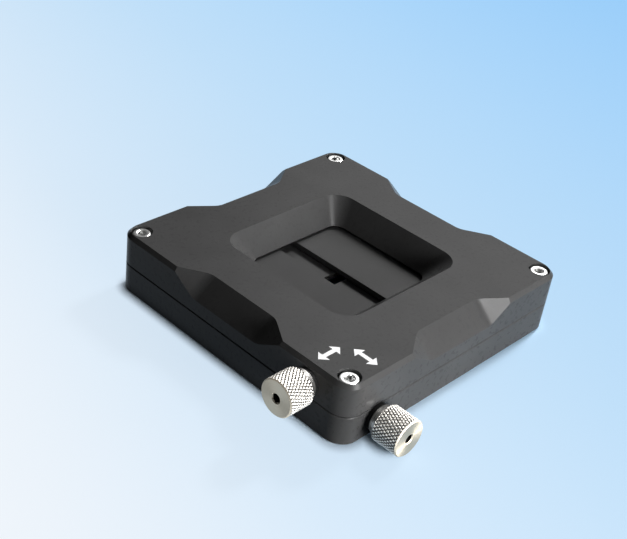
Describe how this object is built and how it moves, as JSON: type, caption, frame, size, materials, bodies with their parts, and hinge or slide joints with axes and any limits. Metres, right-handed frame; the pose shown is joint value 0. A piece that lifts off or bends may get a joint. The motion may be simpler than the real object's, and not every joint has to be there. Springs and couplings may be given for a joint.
{
  "type": "adjustable slit",
  "caption": "Flat square housing with a flared window, whose blades open and close in two directions by knurled knobs.",
  "frame": {"origin": "where the optical axis meets the flat underside", "axes": "+Z out of the front window, -X along the x knob, -Y along the y knob"},
  "size_m": [0.0842, 0.0842, 0.0158],
  "materials": {
    "black_aluminium": "matt black anodised",
    "blade_black": "matt black anodised",
    "bright_steel": "bright stainless",
    "nickel": "turned and knurled, nickel plated",
    "ground_steel": "ground",
    "dark_steel": "black oxide",
    "brass": "machined"
  },
  "bodies": {
    "housing": {"cover": "black_aluminium", "base": "black_aluminium", "corner_screws": "bright_steel", "x_outer_bush": "dark_steel", "x_inner_bush": "brass", "x_guide_rod": "ground_steel", "y_outer_bush": "dark_steel", "y_inner_bush": "brass", "y_guide_rod": "ground_steel"},
    "x_drive": {"x_knob": "nickel", "x_lead_screw": "ground_steel"},
    "y_drive": {"y_knob": "nickel", "y_lead_screw": "ground_steel"},
    "x_left": {"x_left_blade": "blade_black", "x_left_nut_block": "brass", "x_left_slider_block": "brass"},
    "x_right": {"x_right_blade": "blade_black", "x_right_nut_block": "brass", "x_right_slider_block": "brass"},
    "y_front": {"y_front_blade": "blade_black", "y_front_nut_block": "brass", "y_front_slider_block": "brass"},
    "y_back": {"y_back_blade": "blade_black", "y_back_nut_block": "brass", "y_back_slider_block": "brass"}
  },
  "joints": [
    {"name": "x_knob_turn", "type": "hinge", "parent": "housing", "child": "x_drive", "pos_m": [-0.0375, -0.0261, 0.0113], "axis": [-1, 0, 0], "range_deg": [-2045, 6948]},
    {"name": "y_knob_turn", "type": "hinge", "parent": "housing", "child": "y_drive", "pos_m": [-0.0274, -0.0375, 0.00455], "axis": [0, -1, 0], "range_deg": [-1235, 7758]},
    {"name": "x_left_slide", "type": "slide", "parent": "housing", "child": "x_left", "axis": [-1, 0, 0], "range_m": [-0.00284, 0.00965]},
    {"name": "x_right_slide", "type": "slide", "parent": "housing", "child": "x_right", "axis": [1, 0, 0], "range_m": [-0.00284, 0.00965]},
    {"name": "y_front_slide", "type": "slide", "parent": "housing", "child": "y_front", "axis": [0, -1, 0], "range_m": [-0.00171, 0.01077]},
    {"name": "y_back_slide", "type": "slide", "parent": "housing", "child": "y_back", "axis": [0, 1, 0], "range_m": [-0.00171, 0.01077]}
  ],
  "couplings": [
    {"joint": "x_knob_turn", "follows": "x_left_slide", "rad_per_m": 12566},
    {"joint": "x_right_slide", "follows": "x_left_slide", "ratio": 1},
    {"joint": "y_knob_turn", "follows": "y_front_slide", "rad_per_m": 12566},
    {"joint": "y_back_slide", "follows": "y_front_slide", "ratio": 1}
  ]
}
